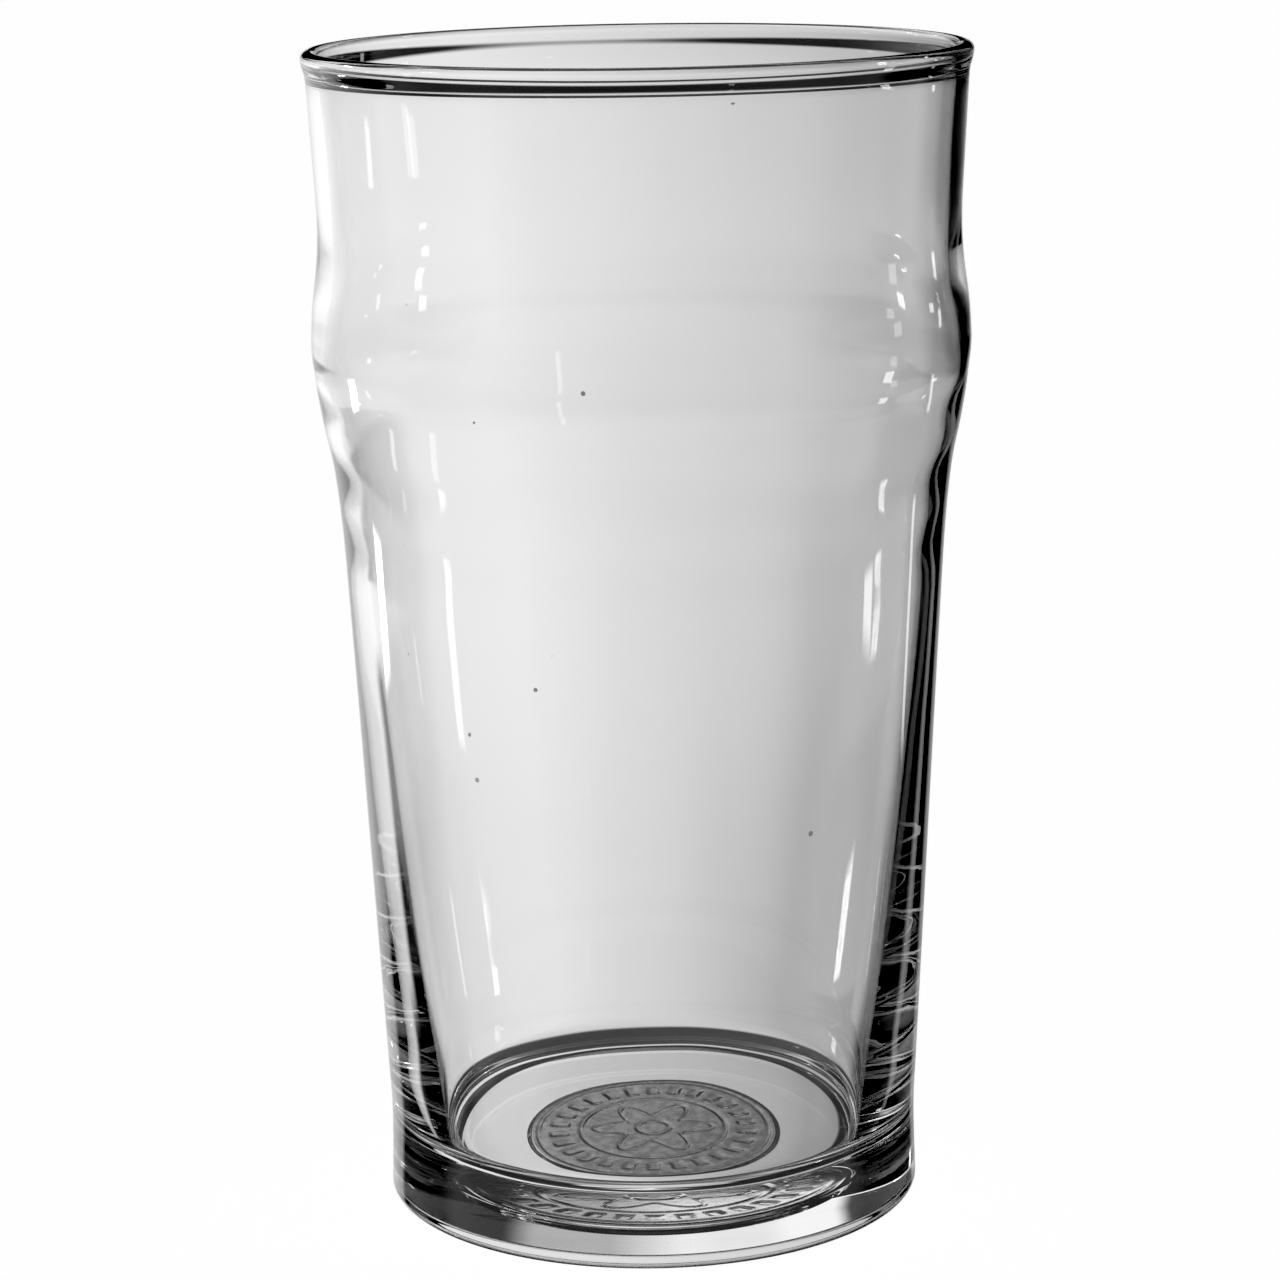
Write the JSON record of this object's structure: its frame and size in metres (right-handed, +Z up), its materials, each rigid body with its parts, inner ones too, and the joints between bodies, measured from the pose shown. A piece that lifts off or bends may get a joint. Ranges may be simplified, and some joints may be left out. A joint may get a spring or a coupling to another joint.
{
  "type": "pint glass",
  "caption": "Clear glass beer tumbler with a rolled rim, an anti-nick bulge below it, a straight tapered wall, a thick heavy base and a recessed underside.",
  "frame": {"origin": "centre of the circle that the glass stands on", "axes": "+Z up along the axis of the glass, from the base to the rim; X and Y are alike, because the glass is round"},
  "size_m": [0.086, 0.086, 0.1526],
  "materials": {
    "glass": "clear, fire-polished and glossy"
  },
  "bodies": {
    "root": {"glass_body": "glass"}
  },
  "joints": []
}
